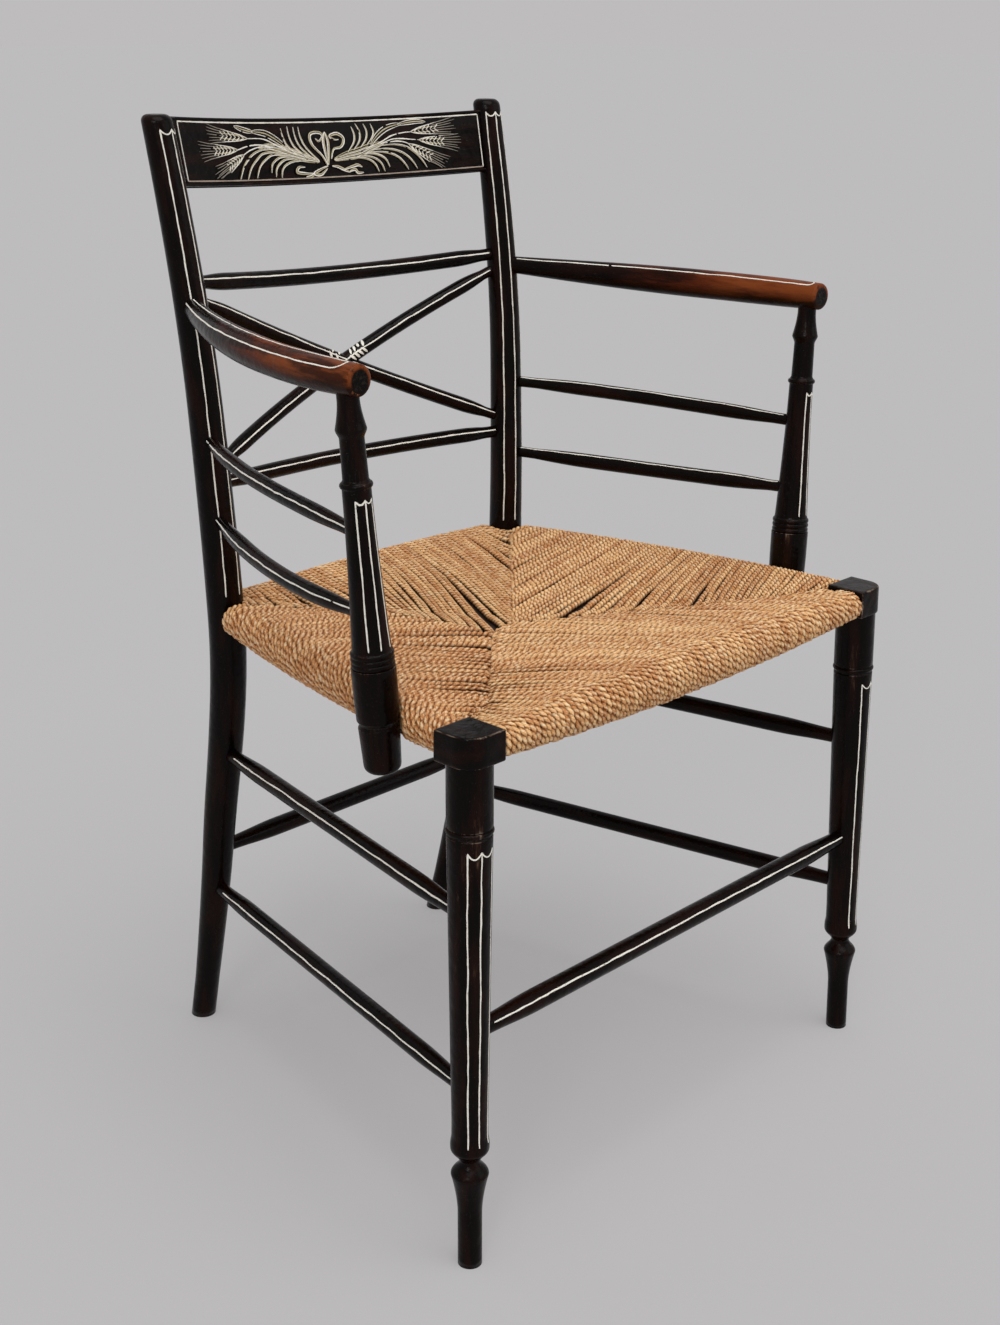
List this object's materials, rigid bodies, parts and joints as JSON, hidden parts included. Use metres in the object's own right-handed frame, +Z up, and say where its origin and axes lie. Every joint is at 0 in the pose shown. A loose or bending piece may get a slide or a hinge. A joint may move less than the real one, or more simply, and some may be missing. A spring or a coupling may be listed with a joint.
{
  "type": "elbow chair",
  "caption": "Painted elbow chair with turned legs, bent back posts, crossed-rod back, flat bowed crest rail, open turned arms and a rush seat.",
  "frame": {"origin": "on the floor under the middle of the chair's overall footprint", "axes": "+Z up, -Y the way the sitter faces, +X to the right for someone who looks at the front of the chair"},
  "size_m": [0.568, 0.477, 0.836],
  "materials": {
    "black_paint": "aged black-brown paint over wood, worn at the edges, with thin cream painted lines",
    "line_paint": "thin cream painted lines and sprays, slightly rubbed",
    "arm_paint": "worn red-brown painted wood, satin",
    "bare_wood": "plain unfinished wood, hidden by the rush",
    "rush": "dry twisted rush, matte"
  },
  "bodies": {
    "root": {"rear_post_left": "black_paint", "rear_post_right": "black_paint", "front_leg_left": "black_paint", "front_leg_right": "black_paint", "crest_rail": "black_paint", "upper_back_rail": "black_paint", "lower_back_rail": "black_paint", "cross_rod_front": "black_paint", "cross_rod_back": "black_paint", "arm_left": "arm_paint", "arm_right": "arm_paint", "arm_support_left": "black_paint", "arm_support_right": "black_paint", "upper_side_rail_left": "black_paint", "upper_side_rail_right": "black_paint", "lower_side_rail_left": "black_paint", "lower_side_rail_right": "black_paint", "front_stretcher": "black_paint", "back_stretcher": "black_paint", "upper_stretcher_left": "black_paint", "upper_stretcher_right": "black_paint", "lower_stretcher_left": "black_paint", "lower_stretcher_right": "black_paint", "front_seat_rail": "bare_wood", "back_seat_rail": "bare_wood", "side_seat_rail_left": "bare_wood", "side_seat_rail_right": "bare_wood", "support_dowel_left": "bare_wood", "support_dowel_right": "bare_wood", "rush_seat": "rush"}
  },
  "joints": []
}
